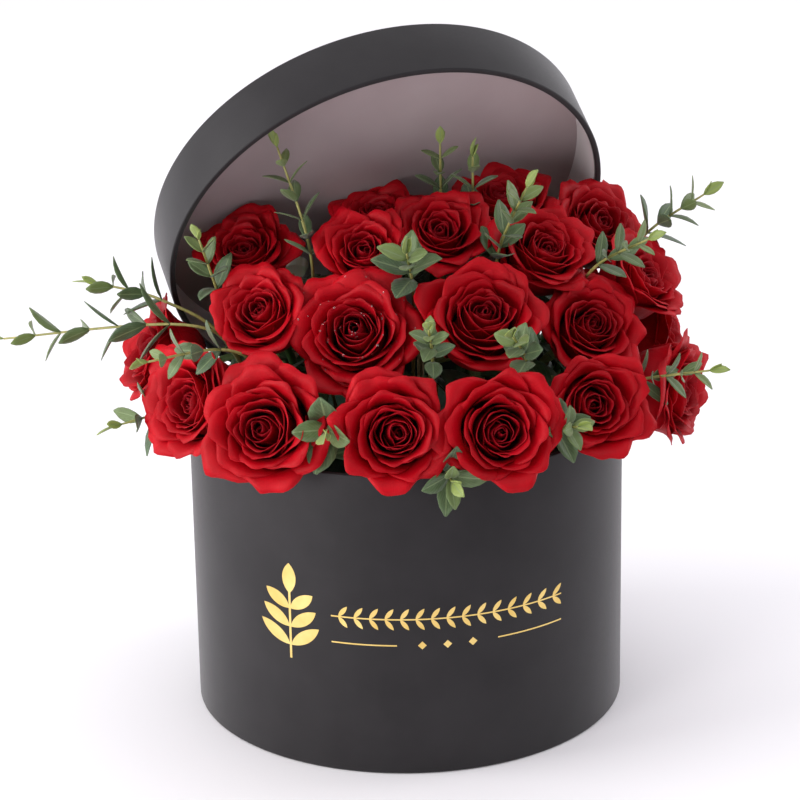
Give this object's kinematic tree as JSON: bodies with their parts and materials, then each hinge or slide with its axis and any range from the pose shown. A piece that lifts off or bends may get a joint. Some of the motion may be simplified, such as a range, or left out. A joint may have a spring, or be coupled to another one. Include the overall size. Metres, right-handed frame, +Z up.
{
  "type": "flower box",
  "caption": "Round paper-covered flower box with a lift-out insert of foam, red roses and greenery, and its lid propped open on picks at the back.",
  "frame": {"origin": "middle of the underside of the box, on the table", "axes": "+Z up along the box's axis, -Y towards the gold print on the front, +X to the right seen from the front"},
  "size_m": [0.4212, 0.2809, 0.4023],
  "materials": {
    "box_paper": "matt charcoal covering paper",
    "inner_paper": "plain black paper",
    "board": "grey-brown board, hidden",
    "gold_foil": "hot-pressed gold foil",
    "lid_lining": "smooth white paper",
    "pick_wood": "plain bamboo",
    "glue": "set hot-melt glue",
    "liner_plastic": "black plastic",
    "foam": "wet green floral foam",
    "stem_green": "fresh plant stem",
    "calyx_green": "fresh calyx",
    "leaf_dark": "fresh dark leaf",
    "petal_red": "velvety rose petal",
    "leaf_grey": "fresh grey-green leaf with a waxy bloom"
  },
  "bodies": {
    "box": {"base_paper": "box_paper", "box_base": "board", "box_tube": "board", "box_wrap": "box_paper", "box_lining": "inner_paper", "foil_sprig": "gold_foil", "foil_rule": "gold_foil"},
    "insert": {"liner": "liner_plastic", "floral_foam": "foam", "rose_stems": "stem_green", "rose_calyces": "calyx_green", "stem_leaves": "leaf_dark", "rose_01": "petal_red", "rose_02": "petal_red", "rose_03": "petal_red", "rose_04": "petal_red", "rose_05": "petal_red", "rose_06": "petal_red", "rose_07": "petal_red", "rose_08": "petal_red", "rose_09": "petal_red", "rose_10": "petal_red", "rose_11": "petal_red", "rose_12": "petal_red", "rose_13": "petal_red", "rose_14": "petal_red", "rose_15": "petal_red", "rose_16": "petal_red", "rose_17": "petal_red", "rose_18": "petal_red", "rose_19": "petal_red", "rose_20": "petal_red", "rose_21": "petal_red", "sprig_01": "leaf_grey", "sprig_02": "leaf_grey", "sprig_03": "leaf_grey", "sprig_04": "leaf_grey", "sprig_05": "leaf_grey", "sprig_06": "leaf_grey", "sprig_07": "leaf_grey", "sprig_08": "leaf_grey", "sprig_09": "leaf_grey", "sprig_10": "leaf_grey", "sprig_11": "leaf_grey", "sprig_12": "leaf_grey", "sprig_13": "leaf_grey", "sprig_14": "leaf_grey", "sprig_15": "leaf_grey", "sprig_16": "leaf_grey", "sprig_17": "leaf_grey", "sprig_18": "leaf_grey"},
    "lid": {"lid_tube": "board", "lid_disc": "board", "lid_wrap": "box_paper", "lid_top_paper": "box_paper", "lid_band_lining": "lid_lining", "lid_disc_lining": "lid_lining", "lid_pick_left": "pick_wood", "lid_pick_right": "pick_wood", "pick_glue": "glue"}
  },
  "joints": [
    {"name": "insert_lift", "type": "slide", "parent": "box", "child": "insert", "axis": [0, 0, 1], "range_m": [0, 0.19]},
    {"name": "lid_lift", "type": "slide", "parent": "insert", "child": "lid", "axis": [0, 0, 1], "range_m": [0, 0.2]}
  ]
}
